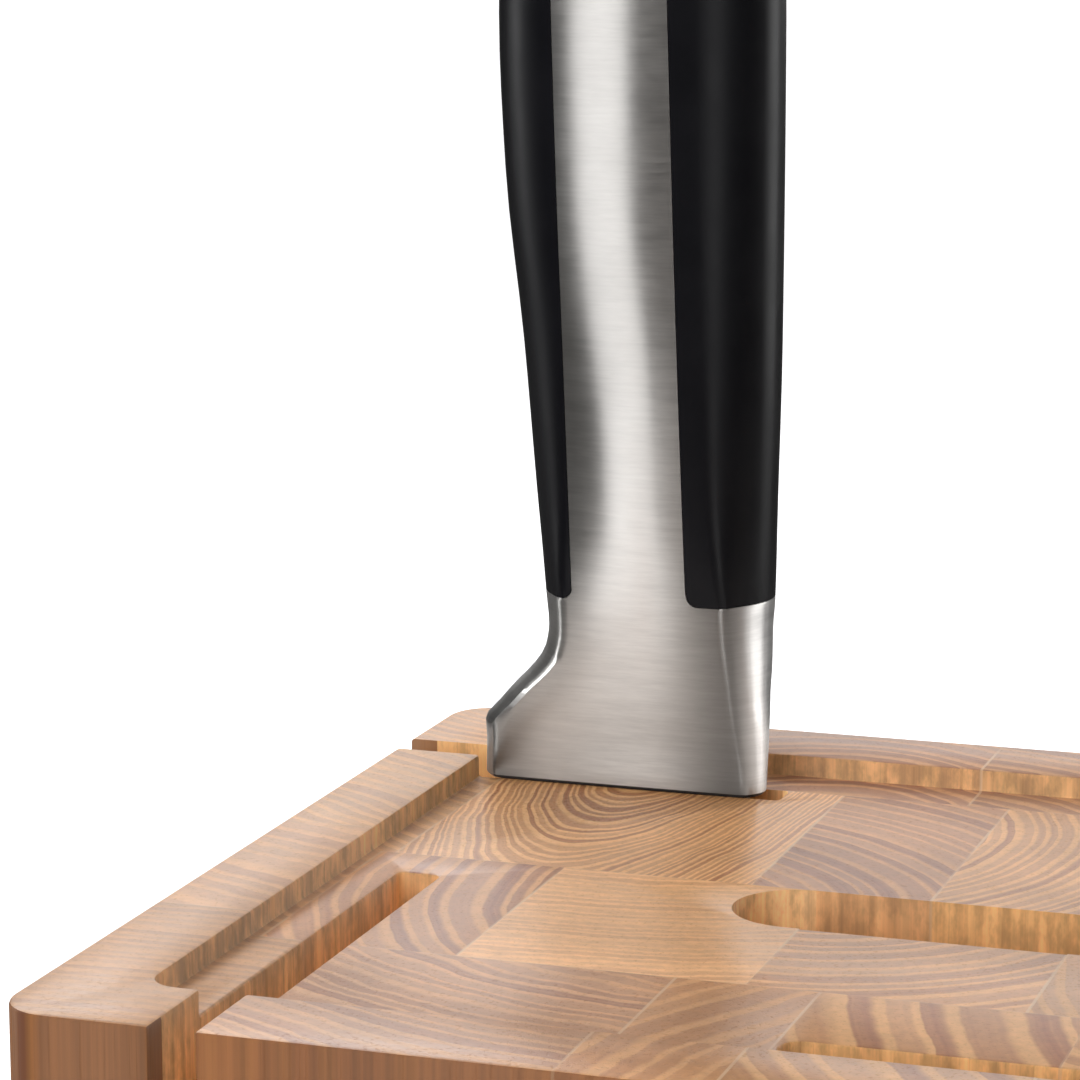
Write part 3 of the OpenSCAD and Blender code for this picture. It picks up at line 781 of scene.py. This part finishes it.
def build_floor():
    """A wide pale floor. Polished pieces see it darker, as a studio table falls away from the
    light."""
    bpy.ops.object.select_all(action="DESELECT")
    bpy.ops.mesh.primitive_circle_add(vertices=96, radius=FLOOR_RADIUS, fill_type="NGON")
    floor = bpy.context.active_object
    floor.name = "pale_floor"
    m, tree, shader = new_material("pale_floor")
    at = object_coordinates(tree)
    mottle = noise_node(tree, at, 3, 3, 0.5)
    link(tree, mix_colour(tree, mottle, *FLOOR_PAPER), shader.inputs["Base Color"])
    shader.inputs["Roughness"].default_value = 0.9
    shader.inputs["Specular IOR Level"].default_value = 0.1
    rays = tree.nodes.new("ShaderNodeLightPath")
    shader.inputs["Emission Color"].default_value = (1, 1, 1, 1)
    link(tree, math_node(tree, "MULTIPLY", rays.outputs["Is Camera Ray"], FLOOR_GLOW),
         shader.inputs["Emission Strength"])
    # Painted shade: polished pieces see the floor as this dark diffuse sheet in their reflections.
    dark = tree.nodes.new("ShaderNodeBsdfDiffuse")
    dark.inputs["Color"].default_value = FLOOR_PAINTED_SHADE
    both = tree.nodes.new("ShaderNodeMixShader")
    link(tree, rays.outputs["Is Glossy Ray"], both.inputs[0])
    link(tree, shader.outputs[0], both.inputs[1])
    link(tree, dark.outputs[0], both.inputs[2])
    out = next(n for n in tree.nodes if n.type == "OUTPUT_MATERIAL")
    link(tree, both.outputs[0], out.inputs[0])
    floor.data.materials.append(m)


def softbox(name, bearing, distance, width, low, high, radiance):
    """An upright light that faces the block and that only reflections see. Its bearing is in
    degrees from +X, its heights in metres."""
    turn = math.radians(bearing)
    height = high - low
    place = Vector((math.cos(turn) * distance, math.sin(turn) * distance, (low + high) / 2))
    lamp = area_light(name, place, (0, 0, place.z), (width, height), radiance)
    lamp.visible_diffuse = False


def area_light(name, place, target, size, radiance):
    """A rectangular light of an even radiance, turned towards its target and hidden itself."""
    light = bpy.data.lights.new(name, "AREA")
    light.shape = "RECTANGLE"
    light.size, light.size_y = size
    light.energy = 4 * radiance * size[0] * size[1]
    lamp = bpy.data.objects.new(name, light)
    bpy.context.scene.collection.objects.link(lamp)
    lamp.location = place
    lamp.rotation_euler = (Vector(target) - Vector(place)).to_track_quat("-Z", "Y").to_euler()
    lamp.visible_camera = False
    return lamp


def build_light():
    """A white backdrop behind, soft top, back and front lights, and upright strips all round."""
    world = bpy.data.worlds.new("white_room")
    bpy.context.scene.world = world
    world.use_nodes = True
    tree = world.node_tree
    tree.nodes.clear()
    out = tree.nodes.new("ShaderNodeOutputWorld")
    shader = tree.nodes.new("ShaderNodeBackground")
    direction = tree.nodes.new("ShaderNodeTexCoord").outputs["Generated"]
    behind = tree.nodes.new("ShaderNodeVectorMath")
    behind.operation = "DOT_PRODUCT"
    behind.inputs[1].default_value = BACKDROP_SIDE
    link(tree, direction, behind.inputs[0])
    split = tree.nodes.new("ShaderNodeSeparateXYZ")
    link(tree, direction, split.inputs[0])
    backdrop = range_node(tree, behind.outputs["Value"], *BACKDROP_LIMITS, 0.0, BACKDROP_GLOW)
    ceiling = range_node(tree, split.outputs[2], *CEILING_LIMITS, 0.0, CEILING_GLOW)
    glow = math_node(tree, "ADD", math_node(tree, "MAXIMUM", backdrop, ceiling), ROOM_GLOW)
    shader.inputs["Color"].default_value = (1.0, 1.0, 1.0, 1)
    link(tree, glow, shader.inputs["Strength"])
    link(tree, shader.outputs[0], out.inputs[0])
    for name, *rest in STRIPS:
        softbox(name, *rest)
    for name, (place, size, radiance, mirrored) in SOFT_LIGHTS.items():
        lamp = area_light(name, place, (0, 0, RIM_Z), size, radiance)
        lamp.visible_glossy = mirrored


# The camera's place from the rim's front left corner in mm, its downward pitch and its turn to
# the left in degrees, and its lens in mm
CAMERA_PLACE = (145.22, -282.41, 100.32)
CAMERA_PITCH = 10.75
CAMERA_TURN = 18.7
CAMERA_LENS = 128.0


def build_camera():
    """A long lens, a little above the rim and to the right of the front."""
    data = bpy.data.cameras.new("camera")
    data.sensor_width = 36
    data.lens = CAMERA_LENS
    data.clip_start, data.clip_end = 0.01, 50
    camera = bpy.data.objects.new("camera", data)
    bpy.context.scene.collection.objects.link(camera)
    corner = Vector((BLOCK_LOW.x, BLOCK_LOW.y, RIM_Z))
    camera.location = corner + Vector(CAMERA_PLACE) * MM
    camera.rotation_euler = (math.radians(90 - CAMERA_PITCH), 0, math.radians(CAMERA_TURN))
    bpy.context.scene.camera = camera


def main():
    """Builds the pieces, the room and the camera."""
    groups = {"rings": growth_ring_group(), "fibres": fibre_group(),
              "glue": glue_line_group(), "brushed": brushed_group()}
    screw = screw_material(groups)
    build_staves(groups)
    build_base(groups, rubber_material(), screw)
    materials = {
        "blade": steel_material("blade_steel", groups, (2600, 2600, 30), (0.56, 0.56, 0.565), 0.3),
        "grip": grip_material(), "screw": screw,
    }
    for k in KNIVES:
        build_knife(k, groups, materials)
    build_floor()
    build_light()
    build_camera()
    bpy.context.scene.view_settings.view_transform = "Standard"


main()
